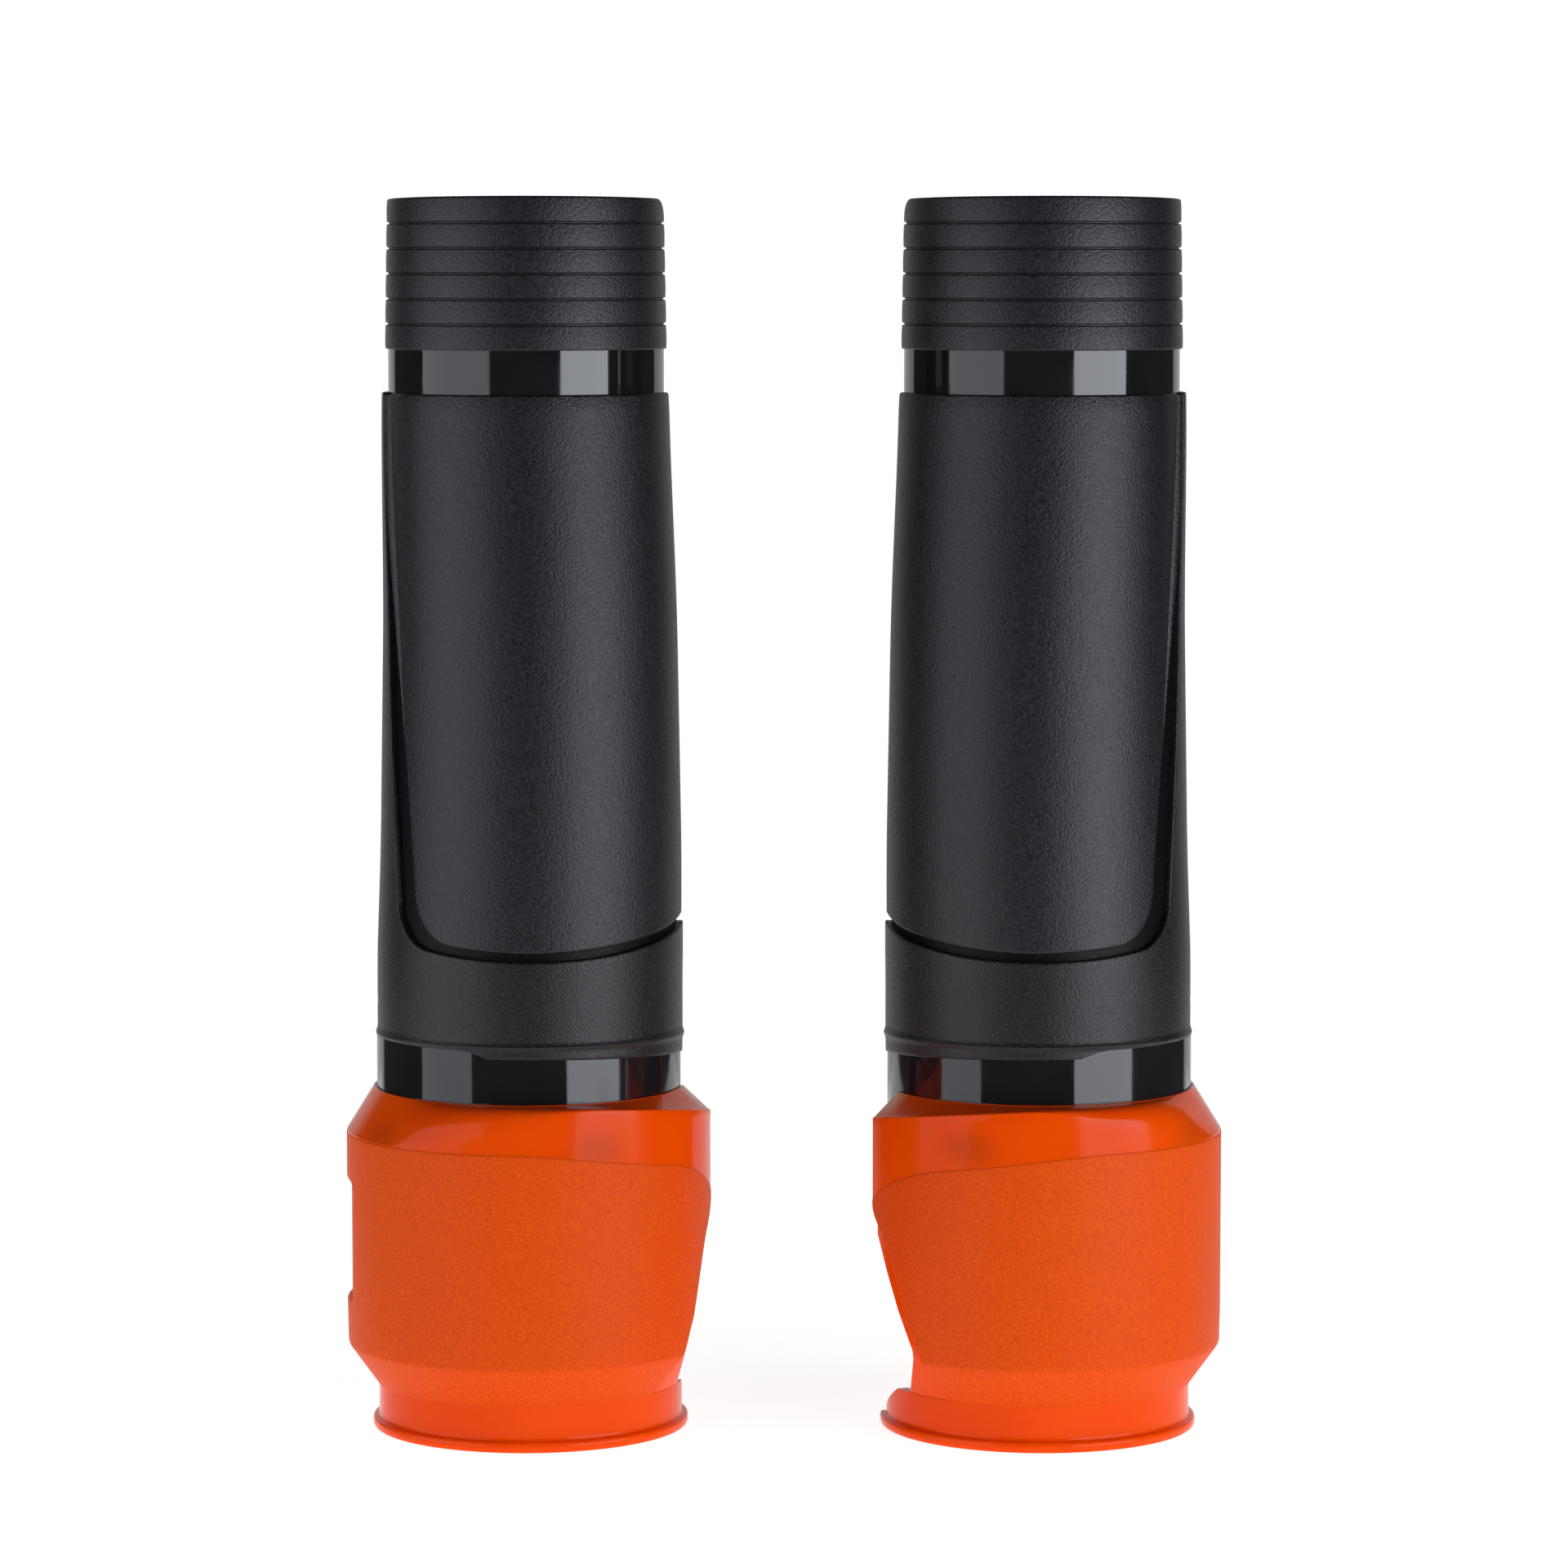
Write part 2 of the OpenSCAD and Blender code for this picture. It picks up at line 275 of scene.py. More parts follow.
def make_piece(side, name, sheets, material, body, turn=0.0, sharp=34, look=None):
    """One closed object from (outer grid, inner grid) sheets, mirrored for the right hand.

    The piece is called after its node, or after look where a node has several pieces.
    """
    points, faces = [], []
    for outer, inner in sheets:
        rows, cols = outer.shape[:2]
        faces += sheet_faces(rows, cols, sum(len(p) for p in points))
        points += [outer.reshape(-1, 3), inner.reshape(-1, 3)]
    points = np.concatenate(points) * M
    if side == "right":
        a = math.radians(-turn)
        x, y = points[:, 0].copy(), points[:, 1].copy()
        points[:, 0] = -(x * math.cos(a) - y * math.sin(a))
        points[:, 1] = x * math.sin(a) + y * math.cos(a)
    mesh = bpy.data.meshes.new(side + "_" + name)
    mesh.from_pydata(points.tolist(), [], faces)
    work = bmesh.new()
    work.from_mesh(mesh)
    bmesh.ops.recalc_face_normals(work, faces=work.faces)
    work.to_mesh(mesh)
    work.free()
    mesh.shade_smooth()
    mesh.set_sharp_from_angle(angle=math.radians(sharp))
    mesh.materials.append(material)
    piece = bpy.data.objects.new(side + "_" + (look or name) + "_look", mesh)
    bpy.context.scene.collection.objects.link(piece)
    piece.location.x = leg_x(side)
    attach(piece, side + "_" + body)
    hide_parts(side + "_" + name)
    return piece


def sector_block(start, stop, profile_out, profile_in, edge=0.3, step=2.0):
    """A sheet between two angles from matching outer and inner [radius, height] rows."""
    radius = max(r for r, _ in profile_out)
    edge_deg = math.degrees(edge / radius)
    count = max(3, int((stop - start) / step))
    theta = stations(start, stop, count, edge_deg)[None, :]
    rows = len(profile_out)
    theta = np.repeat(theta, rows, 0)
    gap = np.minimum(theta - start, stop - theta) * math.radians(1) * radius
    inside = np.clip(gap, 0, edge)
    drop = edge - np.sqrt(np.clip(edge ** 2 - (edge - inside) ** 2, 0, None))
    out = np.array(profile_out, float)
    into = np.array(profile_in, float)
    outer = polar(theta, out[:, :1] - drop, out[:, 1:])
    inner = polar(theta, into[:, :1], into[:, 1:])
    return outer, inner


# ---------------------------------------------------------------- sleeve pieces

def corner_inset(z, top, r):
    """How far a sheet's rounded top corner stands back from its side edge at a height."""
    rise = np.clip(z - (top - r), 0, r)
    return r - np.sqrt(np.clip(r * r - rise * rise, 0, None))


def split_angles(z, top, r, radius):
    """Both edges of a sheet at a height, with its top corners rounded."""
    inset = np.degrees(corner_inset(z, top, r) / radius)
    return SPLIT_OUTER + inset, SPLIT_INNER - inset


def corner_rows(top, r):
    """Heights that follow a rounded corner evenly."""
    return top - r + r * np.sin(np.radians(np.arange(0, 91, 7.5)))


def core_sheet():
    """The polished sleeve: foot, belly under the shield, band and the wall under the cuff."""
    key = [
        (SLEEVE_LOW, FOOT_R), (SLEEVE_LOW + 0.4, FOOT_R), (BEAD_LOW - 0.5, FOOT_R),
        (BEAD_TOP - 2.0, FOOT_R), (BEAD_TOP - 2.0, SHIELD_R - FRAME_T),
        (KNEE_Z, SHIELD_R - FRAME_T), (118, None), (126, None), (134, None), (142, None),
        (150, None), (165, None), (180, None), (188, None), (196, None), (204, None), (210, None),
        (SHIELD_TOP - 0.3, None), (SHIELD_TOP - 0.3, BAND_R), (SHIELD_TOP + 0.4, BAND_R),
        (CUFF_LOW - 0.4, BAND_R), (CUFF_LOW + 0.3, BAND_R), (CUFF_LOW + 0.3, CUFF_BACK - 0.02)
    ]
    z = [k[0] for k in key]
    r = [shield_radius(k[0]) - FRAME_T if k[1] is None else k[1] for k in key]
    rest = corner_rows(SLEEVE_TOP, TOP_CORNER)
    z = np.array(z + list(rest))
    r = np.array(r + [CUFF_BACK - 0.02] * len(rest))
    low, high = split_angles(z, SLEEVE_TOP, TOP_CORNER, CUFF_BACK)
    theta = stations(low, high, 140, 0.5)
    drop = edge_drop(theta, z[:, None], FOOT_R, 0.3, "LR")
    drop[-1] = 0
    level = crown(theta, z[:, None], SLEEVE_TOP)
    outer = polar(theta, r[:, None] - drop, level)
    outer = np.where(z[:, None, None] > BEAD_TOP, lean(outer), outer)
    return outer, polar(theta, sleeve_bore(z)[:, None], level)


def cuff_radius(z):
    """The cuff's ribs: six flat bands with narrow grooves between them."""
    pitch = (CUFF_TOP - CUFF_LOW) / 6
    base = np.interp(z, [CUFF_LOW, CUFF_TOP], [CUFF_R, CUFF_R - 0.6])
    place = (z - CUFF_LOW) / pitch
    nearest = np.clip(np.round(place), 1, 5)
    gap = np.abs(place - nearest) * pitch
    groove = 0.52 * (1 - smooth(gap, 0.12, 0.36))
    swell = 0.10 * (1 - (2 * (place - np.floor(place)) - 1) ** 2)
    return base - groove + np.clip(swell, 0, None) - 0.10


def cuff_sheet():
    """The ribbed cuff, with rounded corners and edges at the split."""
    pitch = (CUFF_TOP - CUFF_LOW) / 6
    rows = [CUFF_LOW, CUFF_LOW + 0.04, CUFF_LOW + 0.13, CUFF_LOW + 0.28, CUFF_LOW + 0.45]
    for i in range(6):
        start = CUFF_LOW + i * pitch
        if i:
            rows += [start + g for g in RIB_STEPS]
        rows += [start + pitch * t for t in (0.2, 0.35, 0.5, 0.65, 0.8)]
    rows += list(corner_rows(CUFF_TOP, TOP_CORNER))
    rows += [CUFF_TOP - g for g in (0.05, 0.2, 0.4)]
    z = np.array(sorted(set(round(float(v), 4) for v in rows)))
    low, high = split_angles(z, CUFF_TOP, TOP_CORNER, CUFF_R - 0.6)
    theta = stations(low, high, 140, 0.9)
    drop = edge_drop(theta, z[:, None], CUFF_R, 0.45, "LRT")
    foot = np.clip(0.3 - (z[:, None] - CUFF_LOW), 0, 0.3)
    drop = drop + 0.3 - np.sqrt(np.clip(0.09 - foot ** 2, 0, None))
    r = np.maximum(cuff_radius(z)[:, None] - drop, CUFF_BACK + 0.05)
    level = crown(theta, z[:, None], CUFF_TOP)
    return polar(theta, r, level), polar(theta, CUFF_BACK, level)


def panel_sheet():
    """The sunk panel: a curved side edge, a rounded lower corner and a leaning foot."""
    foot, wide, tall = 1.8, 8.5, 11.0
    height = SHIELD_TOP - float(sill(-60)) - foot
    low_rows = tall * (1 - np.sin(np.radians(np.arange(90, -1, -6.0))))
    even_rows = np.linspace(tall + 3, height - 0.5, 30)
    edge_rows = np.array([0, 0.04, 0.15, 0.3])
    rows = np.sort(np.concatenate([edge_rows, low_rows[1:], even_rows]))
    rows = np.concatenate([rows, height - edge_rows[::-1]])
    low = rounded_corner(panel_edge, foot, rows, wide, tall)
    top_turn = np.degrees(corner_inset(SHIELD_TOP - height + rows, SHIELD_TOP, 1.6) / SHIELD_TOP_R)
    theta = stations(low, SPLIT_INNER - top_turn, 90, 1.0)
    foot_z = sill(theta) + foot
    z = foot_z + (rows / height)[:, None] * (SHIELD_TOP - foot_z)
    drop = edge_drop(theta, z, SHIELD_R, 0.55)
    r = shield_radius(z)
    recess = PANEL_SUNK - 0.7 * smooth(theta, 30.0, SPLIT_INNER)
    outer = polar(theta, r - recess - drop, z)
    inner = polar(theta, r - FRAME_T - 0.05, z)
    return lean(outer), lean(inner)


def window_path():
    """The frame's inner edge: down the spine, round the corner and along the sill."""
    low = float(sill(-60)) + CORNER_Z
    z = np.linspace(SHIELD_TOP, low, 46)
    side = np.stack([spine_edge(z), z], -1)
    rise = CORNER_Z * (1 - np.sin(np.radians(np.arange(5, 91, 5.0))))
    angle = rounded_corner(spine_edge, 0.0, rise, CORNER_X, CORNER_Z)
    bend = np.stack([angle, sill(angle) + rise], -1)
    theta = np.linspace(float(angle[-1]), SPLIT_INNER, 74)[1:]
    foot = np.stack([theta, sill(theta)], -1)
    return side, bend, foot


def frame_sheet():
    """The raised spine and the band under the panel, drawn between their two outlines."""
    side, bend, foot = window_path()
    left = np.stack([np.full(len(side), SPLIT_OUTER),
                     np.linspace(SHIELD_TOP, BEAD_TOP + 12, len(side))], -1)
    half = len(bend) // 2
    down = np.linspace(BEAD_TOP + 9, BEAD_TOP, half + 1)
    corner = [(SPLIT_OUTER, h) for h in down]
    corner += [(t, BEAD_TOP) for t in np.linspace(SPLIT_OUTER + 12, -110, len(bend) - half - 1)]
    bottom = np.stack([np.linspace(-100, SPLIT_INNER, len(foot)), np.full(len(foot), BEAD_TOP)], -1)
    out_path = np.concatenate([left, np.array(corner), bottom])
    in_path = np.concatenate([side, bend, foot])
    ends = np.array([0.02, 0.08, 0.18, 0.4])
    parts = []
    for path in (out_path, in_path):
        first = path[:1] + (path[1:2] - path[:1]) * ends[:, None]
        last = path[-1:] + (path[-2:-1] - path[-1:]) * ends[::-1, None]
        parts.append(np.concatenate([path[:1], first, path[1:-1], last, path[-1:]]))
    share = stations(0.0, 1.0, 44, 0.012)
    grid = parts[0][None] + share[:, None, None] * (parts[1] - parts[0])[None]
    theta, z = grid[..., 0], grid[..., 1]
    drop = edge_drop(theta, z, SHIELD_R, 0.4, "LRT")
    drop = np.maximum(drop, split_drop(theta, SHIELD_R, 0.4))
    r = shield_radius(z)
    return lean(polar(theta, r - drop, z)), lean(polar(theta, r - FRAME_T - 0.02, z))


def groove_shade_sheet():
    """A dark sheet laid on the floor of the groove between the frame and the panel, which paints the
    groove's shade.
    """
    z = np.concatenate([[KNEE_Z - 0.5], np.linspace(KNEE_Z, SHIELD_TOP - 0.4, 24)])
    theta = stations(-79.0, SPLIT_INNER - 0.5, 84, 0.2)[None, :] + 0 * z[:, None]
    r = (shield_radius(z) - FRAME_T)[:, None]
    return lean(polar(theta, r + 0.08, z[:, None])), lean(polar(theta, r - 0.03, z[:, None]))


def ramp_sheet():
    """A matt flank beside the panel that widens upwards until it fills the groove."""
    z = np.linspace(146.0, SHIELD_TOP - 0.5, 40)
    wide = 0.35 + 2.3 * smooth(z, 150.0, 215.0)
    end = panel_edge(z) + 0.35
    start = end - np.degrees(wide / SHIELD_R)
    theta = stations(start, end, 8, 0.15)
    share = (end[:, None] - theta) / (end - start)[:, None]
    floor = (shield_radius(z) - FRAME_T)[:, None]
    rise = (0.50 * wide)[:, None] * np.sin(0.5 * math.pi * share) ** 1.1
    outer = polar(theta, floor + 0.12 + rise, z[:, None])
    return lean(outer), lean(polar(theta, floor - 0.02, z[:, None]))


def split_drop(theta, radius, edge):
    """Rounding of an edge that follows the outer side of the split."""
    gap = np.clip(np.radians(theta - SPLIT_OUTER) * radius, 0, edge)
    return edge - np.sqrt(np.clip(edge ** 2 - (edge - gap) ** 2, 0, None))


def bead_sheet():
    """The rolled foot: a slim bump under the frame, then a straight skirt to its edge."""
    share = np.array([0, 0.01, 0.04, 0.08, 0.2, 0.35, 0.45, 0.52, 0.6, 0.68, 0.76, 0.84, 0.92, 1.0])
    swell = 0.40 * np.exp(-((share - 0.74) / 0.13) ** 2)
    foot = np.array([0.35, 0.2, 0.08, 0.0] + [0.0] * 10)
    theta = stations(SPLIT_OUTER, SPLIT_INNER, 130, 0.9)[None, :] + 0 * share[:, None]
    low = BEAD_LOW - 0.5 + 2.4 * np.clip(np.cos(np.radians(theta)), 0, 1)
    z = low + share[:, None] * (BEAD_TOP + 0.05 - low)
    gap = np.minimum(theta - SPLIT_OUTER, SPLIT_INNER - theta) * math.radians(1) * BEAD_R
    inside = np.clip(gap, 0, 0.5)
    drop = 0.5 - np.sqrt(np.clip(0.25 - (0.5 - inside) ** 2, 0, None))
    r = SHIELD_R + (swell - foot - 0.08 * (1 - share) ** 2)[:, None] - drop
    return lean(polar(theta, r, z)), polar(theta, SHIELD_R - FRAME_T, z)


def pad_sheet(node):
    """A rubber strip on the sleeve's inner wall."""
    low, high = heights(node)
    edge = 0.5
    z = stations(low, high, 8, edge)
    theta = stations(SPLIT_OUTER + 12, SPLIT_INNER - 12, 120, 1.0)[None, :] + 0 * z[:, None]
    drop = edge_drop(theta, z[:, None], TUBE_R, edge)
    outer = polar(theta, sleeve_bore(z)[:, None] - 0.01, z[:, None])
    inner = polar(theta, TUBE_R + 0.2 + drop, z[:, None])
    return outer, inner


# ---------------------------------------------------------------- guard pieces

def scallop_edge(z, r):
    """Angle of the guard's inner edge, cut back in a long curve as seen from the front."""
    back = 0.143 * np.clip(53 - z, 0, None) + 0.1 * np.clip(28 - z, 0, None)
    back = np.minimum(back, 8.4) * smooth(z, 56.0, 44.0)
    x = GUARD_R * math.sin(math.radians(SPLIT_INNER)) - back
    limit = math.sin(math.radians(SPLIT_INNER))
    return np.degrees(np.arcsin(np.minimum(x / r, limit)))


def pull_back(theta, z, r, inset=0.0):
    """Moves the columns near the inner edge back to the scallop."""
    weight = np.where(theta > 30, (theta - 30) / (SPLIT_INNER - 30), 0)
    return theta + (scallop_edge(z, r) - SPLIT_INNER - math.degrees(inset / GUARD_R)) * weight


def matte_line(theta):
    """Upper edge of the matt skirt: level outside, falling inwards, with a rounded end."""
    fall_from = [SPLIT_OUTER, 0, 14, 30, 60, SPLIT_INNER]
    level = np.interp(theta, fall_from, [MATTE_TOP, MATTE_TOP, 67.7, 66.2, 63.2, 62.4])
    left = GUARD_R * (math.sin(math.radians(SPLIT_INNER)) - np.sin(np.radians(theta)))
    left = np.where(theta > 20, np.clip(left, 0, MATTE_CORNER), MATTE_CORNER)
    rise = np.sqrt(np.clip(MATTE_CORNER ** 2 - (MATTE_CORNER - left) ** 2, 0, None))
    return level - (MATTE_CORNER - rise)


def guard_columns():
    """Angles across the guard, close together at its ends and round the sunk field."""
    even = list(np.arange(SPLIT_OUTER + 2, 76, 2.0))
    field = [c + g for c in (FIELD_FROM, FIELD_TO) for g in np.linspace(-2.4, 2.4, 9)]
    edge_x = math.sin(math.radians(SPLIT_INNER))
    turn = [math.degrees(math.asin(edge_x - MATTE_CORNER * (1 - math.cos(a)) / GUARD_R))
            for a in np.radians(np.arange(7.5, 91, 7.5))]
    ends = list(SPLIT_OUTER + 0.7 * (1 - np.cos(np.radians([0, 22.5, 45, 67.5, 90]))))
    ends += list(SPLIT_INNER - 0.6 * (1 - np.cos(np.radians([22.5, 45, 67.5, 90]))))
    values = sorted(set(round(float(v), 3) for v in even + field + turn + ends))
    return np.array(values)


def crease(theta):
    """Height of the wall's top on the shoulder's inner half."""
    return 72.9 + 6.0 * np.cos(np.radians(theta))


def shoulder_rows(theta):
    """Rows of the shoulder from the rim down: a cone outside, a slope and a wall inside."""
    rim, foot = RIM_R, MATTE_TOP + 0.3
    edge = [(rim - 0.55, RIM_TOP), (rim - 0.15, RIM_TOP), (rim, RIM_TOP - 0.1)]
    rows = [(r + 0 * theta, z + 0 * theta) for r, z in edge]
    full = smooth(theta, -58.0, 14.0)
    power = 1.0 + 5.0 * full ** 1.5
    crisp = smooth(theta, -6.0, 26.0)
    top = np.minimum(crease(theta), RIM_TOP - 0.1)
    slope = [0.0, 0.15, 0.3, 0.45, 0.6, 0.75, 0.88, 0.96]
    turn = [(0.35 * math.sin(a), 0.35 * math.cos(a)) for a in np.radians([0, 22.5, 45, 67.5, 90])]
    drop = [0.25, 0.5, 0.75, 1.0]
    count = len(slope) + len(turn) + len(drop)
    for i in range(count):
        phi = 0.5 * math.pi * i / (count - 1)
        soft_r = rim + (WALL_R - rim) * math.sin(phi) ** (2 / power)
        soft_z = foot + (RIM_TOP - 0.15 - foot) * math.cos(phi) ** (2 / power)
        if i < len(slope):
            sharp_r = rim + (WALL_R - 0.35 - rim) * slope[i]
            sharp_z = RIM_TOP - 0.15 + (top - RIM_TOP + 0.15) * slope[i]
        elif i < len(slope) + len(turn):
            across, up = turn[i - len(slope)]
            sharp_r, sharp_z = WALL_R - 0.35 + across, top - 0.35 + up
        else:
            share = drop[i - len(slope) - len(turn)]
            sharp_r, sharp_z = WALL_R, top - 0.35 + (foot - top + 0.35) * share
        r = soft_r + (sharp_r - soft_r) * crisp
        z = soft_z + (sharp_z - soft_z) * crisp
        rows.append((r + 0 * theta, z + 0 * theta))
    return rows


def shell_sheet():
    """The polished guard: rim, shoulder, wall, the seat under the skirt and the draw to the neck."""
    column = guard_columns()
    rows = shoulder_rows(column)
    start_z = rows[-1][1]
    line = matte_line(column) - 0.3
    for t in (0.1, 0.25, 0.45, 0.7, 1.0):
        rows.append((WALL_R + 0 * column, start_z + (line - start_z) * t))
    rows.append((SEAT_R - 0.02 + 0 * column, line))
    for t in (0.25, 0.5, 0.75, 1.0):
        rows.append((SEAT_R - 0.02 + 0 * column, line + (WALL_LOW - line) * t))
    lower = [(39.9, 20.0), (NECK_R, SKIRT_LOW + 0.1), (NECK_R - 0.3, SKIRT_LOW)]
    rows += [(r + 0 * column, z + 0 * column) for r, z in lower]
    r = np.array([a for a, _ in rows])
    z = np.array([b for _, b in rows])
    theta = pull_back(column[None, :] + 0 * z, z, r)
    drop = edge_drop(theta, z, GUARD_R, 0.45, "LR")
    key_z = [2.0, 10.4, 20.9, 22.6, 66.0, 69.2, 71.5, RIM_TOP]
    key_r = [NECK_BORE, NECK_BORE, 39.0, WALL_BORE, WALL_BORE, WALL_BORE, 37.6, 37.0]
    r_in = np.interp(z, key_z, key_r)
    r_in = np.minimum(r_in, r - 0.9)
    r_in[:6] = RIM_BORE
    z_in = z.copy()
    z_in[3:6] = np.minimum(z[3:6], np.array([76.0, 74.0, 72.0])[:, None])
    outer = polar(theta, r - drop, z)
    inner = polar(theta, np.maximum(r_in, NECK_BORE), z_in)
    return outer[::-1], inner[::-1]


def track_sheets():
    """The shelf under the lugs and the stops beside them, inside the guard."""
    low = LUG_LOW - 0.3
    out = [(WALL_BORE + 0.2, low - 2.5), (WALL_BORE + 0.2, low)]
    into = [(RIM_BORE, low - 2.5), (RIM_BORE, low)]
    sheets = [sector_block(SPLIT_OUTER + 0.3, SPLIT_INNER - 0.3, out, into)]
    for place in lug_angles():
        for hand in (-22, 22):
            middle = place + 8 + hand
            top = LUG_TOP + 0.3
            out = [(WALL_BORE + 0.1, low - 0.2), (WALL_BORE + 0.1, 69.5), (37.8, top)]
            into = [(RIM_BORE + 0.25, height) for _, height in out]
            sheets.append(sector_block(middle - 2, middle + 2, out, into, 0.2, 1.0))
    return sheets


def skirt_radius(theta, z):
    """The matt wall with its sunk field, drawn in at the foot by a chamfer."""
    wall = np.interp(z, [SKIRT_LOW, 18.7, 19.15, 19.5, 19.8, 20.4, WALL_FULL],
                     [NECK_R + 0.35, 41.2, 41.5, 41.68, 41.78, 41.84, GUARD_R])
    across = np.minimum(theta - FIELD_FROM, FIELD_TO - theta) * math.radians(1) * GUARD_R
    along = np.minimum(z - FIELD_LOW, FIELD_HIGH - z)
    corner = 4.0
    inside = corner - np.hypot(np.clip(corner - across, 0, None), np.clip(corner - along, 0, None))
    return wall - FIELD_SUNK * smooth(inside, 0.0, 1.5)


def skirt_sheet():
    """The matt skirt: chamfer, wall with its sunk field, and an upper edge along the matt line."""
    column = guard_columns()
    low = [SKIRT_LOW, SKIRT_LOW + 0.15, 12.5, 14.5, 16.5, 18.7, 19.15, 19.5, 19.8, 20.4, 24.0]
    rows = [z + 0 * column for z in low + [WALL_FULL]]
    field = list(FIELD_LOW + np.linspace(0, 1.8, 6)) + list(np.linspace(33.4, 54.0, 10))
    field += list(FIELD_HIGH - np.linspace(1.8, 0, 6))
    line = matte_line(column)
    share = [(z - WALL_FULL) / (MATTE_TOP - WALL_FULL) for z in field]
    share += [0.79, 0.85, 0.9, 0.94, 0.97]
    rows += [WALL_FULL + (line - WALL_FULL) * s for s in share]
    rows += [line - g for g in (0.28, 0.17, 0.08, 0.02, 0.0)]
    z = np.sort(np.array(rows), axis=0)
    theta = pull_back(column[None, :] + 0 * z, z, GUARD_R + 0 * z, 0.25)
    r = skirt_radius(theta, z)
    drop = edge_drop(theta, z, GUARD_R, 0.3, "LRT")
    back = np.interp(z, [SKIRT_LOW, 20.3, WALL_LOW], [NECK_R, 40.3, SEAT_R])
    outer = polar(theta, np.maximum(r - drop, back + 0.1), z)
    return outer, polar(theta, back, z)


def neck_line(theta):
    """Upper edge of the neck: level under the wall, then falling to the lip at its end."""
    back = NECK_R * np.sin(np.radians(np.clip(NECK_INNER - theta, 0, 90)))
    start = LIP_H + 0.2
    slope = (NECK_TOP + 1 - start) / (NECK_FALL + 0.5)
    return np.minimum(start + slope * (back + 0.5), NECK_TOP)


def lip_sheet():
    """The neck, which runs on past the wall's cut edge, and the rounded lip at its foot."""
    angles = np.radians(np.arange(-90, 91, 15))
    lip_z = LIP_LOW + LIP_H / 2 * (1 + np.sin(angles))
    lip_r = LIP_R - 0.7 + 0.7 * np.cos(angles) ** 0.7
    fillet = [LIP_H + g for g in (0.04, 0.16, 0.4, 1.0)]
    neck_z = fillet + [6.0, 8.0, NECK_TOP - 0.2, NECK_TOP]
    neck_r = [NECK_R + g for g in [0.40, 0.18, 0.05] + [0.0] * 5]
    z = np.concatenate([lip_z, neck_z])[:, None]
    r = np.concatenate([lip_r, neck_r])[:, None]
    theta = stations(SPLIT_OUTER, NECK_INNER, 150, 0.7)[None, :] + 0 * z
    share = (neck_line(theta) - LIP_H) / (NECK_TOP - LIP_H)
    z = np.where(z > LIP_H, LIP_H + (z - LIP_H) * share, z)
    drop = edge_drop(theta, z, LIP_R, 0.4, "LR")
    bore = np.where(z < LIP_H + 0.01, LIP_BORE, NECK_BORE)
    return polar(theta, r - drop, z), polar(theta, bore, z)


# ---------------------------------------------------------------- materials

def new_material(name, roughness, **numbers):
    """A material and its shader, with uniform numbers set on the shader's own sockets."""
    material = bpy.data.materials.new(name)
    material.use_nodes = True
    shader = material.node_tree.nodes["Principled BSDF"]
    shader.inputs["Roughness"].default_value = roughness
    for key, value in numbers.items():
        shader.inputs[key.replace("_", " ")].default_value = value
    return material, shader


def add(material, kind, **values):
    """A new node; each value is a property of the node or one of its sockets."""
    node = material.node_tree.nodes.new(kind)
    for key, value in values.items():
        if hasattr(node, key):
            setattr(node, key, value)
        else:
            node.inputs[key.replace("_", " ")].default_value = value
    return node


def link(material, start, end):
    material.node_tree.links.new(start, end)


def place_of(material):
    return add(material, "ShaderNodeTexCoord").outputs["Object"]


def noise(material, scale, detail=2.0, rough=0.5):
    """A noise pattern fixed to the piece, with scale in features a metre."""
    node = add(material, "ShaderNodeTexNoise", Scale=scale, Detail=detail, Roughness=rough)
    link(material, place_of(material), node.inputs["Vector"])
    return node.outputs["Fac"]


def remap(material, value, low, high, to_low, to_high):
    node = add(material, "ShaderNodeMapRange")
    for key, number in zip(("From Min", "From Max", "To Min", "To Max"), (low, high, to_low, to_high)):
        node.inputs[key].default_value = number
    link(material, value, node.inputs["Value"])
    return node.outputs["Result"]


def blend_colour(material, factor, first, second):
    node = add(material, "ShaderNodeMix", data_type="RGBA")
    for socket, value in ((node.inputs[6], first), (node.inputs[7], second)):
        if isinstance(value, tuple):
            socket.default_value = (*value, 1.0)
        else:
            link(material, value, socket)
    link(material, factor, node.inputs[0])
    return node.outputs[2]


def bump(material, value, strength, distance, base=None):
    node = add(material, "ShaderNodeBump", Strength=strength, Distance=distance)
    link(material, value, node.inputs["Height"])
    if base is not None:
        link(material, base, node.inputs["Normal"])
    return node.outputs["Normal"]


def polished_black():
    """Moulded black: a mirror finish with faint wipe marks and a slight waviness."""
    material, shader = new_material("polished_black", 0.06)
    wide = noise(material, 60.0, 3.0)
    fine = noise(material, 900.0, 2.0)
    tint = blend_colour(material, remap(material, wide, 0.35, 0.65, 0, 1),
                        (0.0085, 0.008, 0.009), (0.012, 0.011, 0.0125))
    link(material, tint, shader.inputs["Base Color"])
    link(material, remap(material, wide, 0.3, 0.7, 0.045, 0.10), shader.inputs["Roughness"])
    waves = bump(material, wide, 0.10, 0.0004)
    link(material, bump(material, fine, 0.05, 0.00004, waves), shader.inputs["Normal"])
    return material


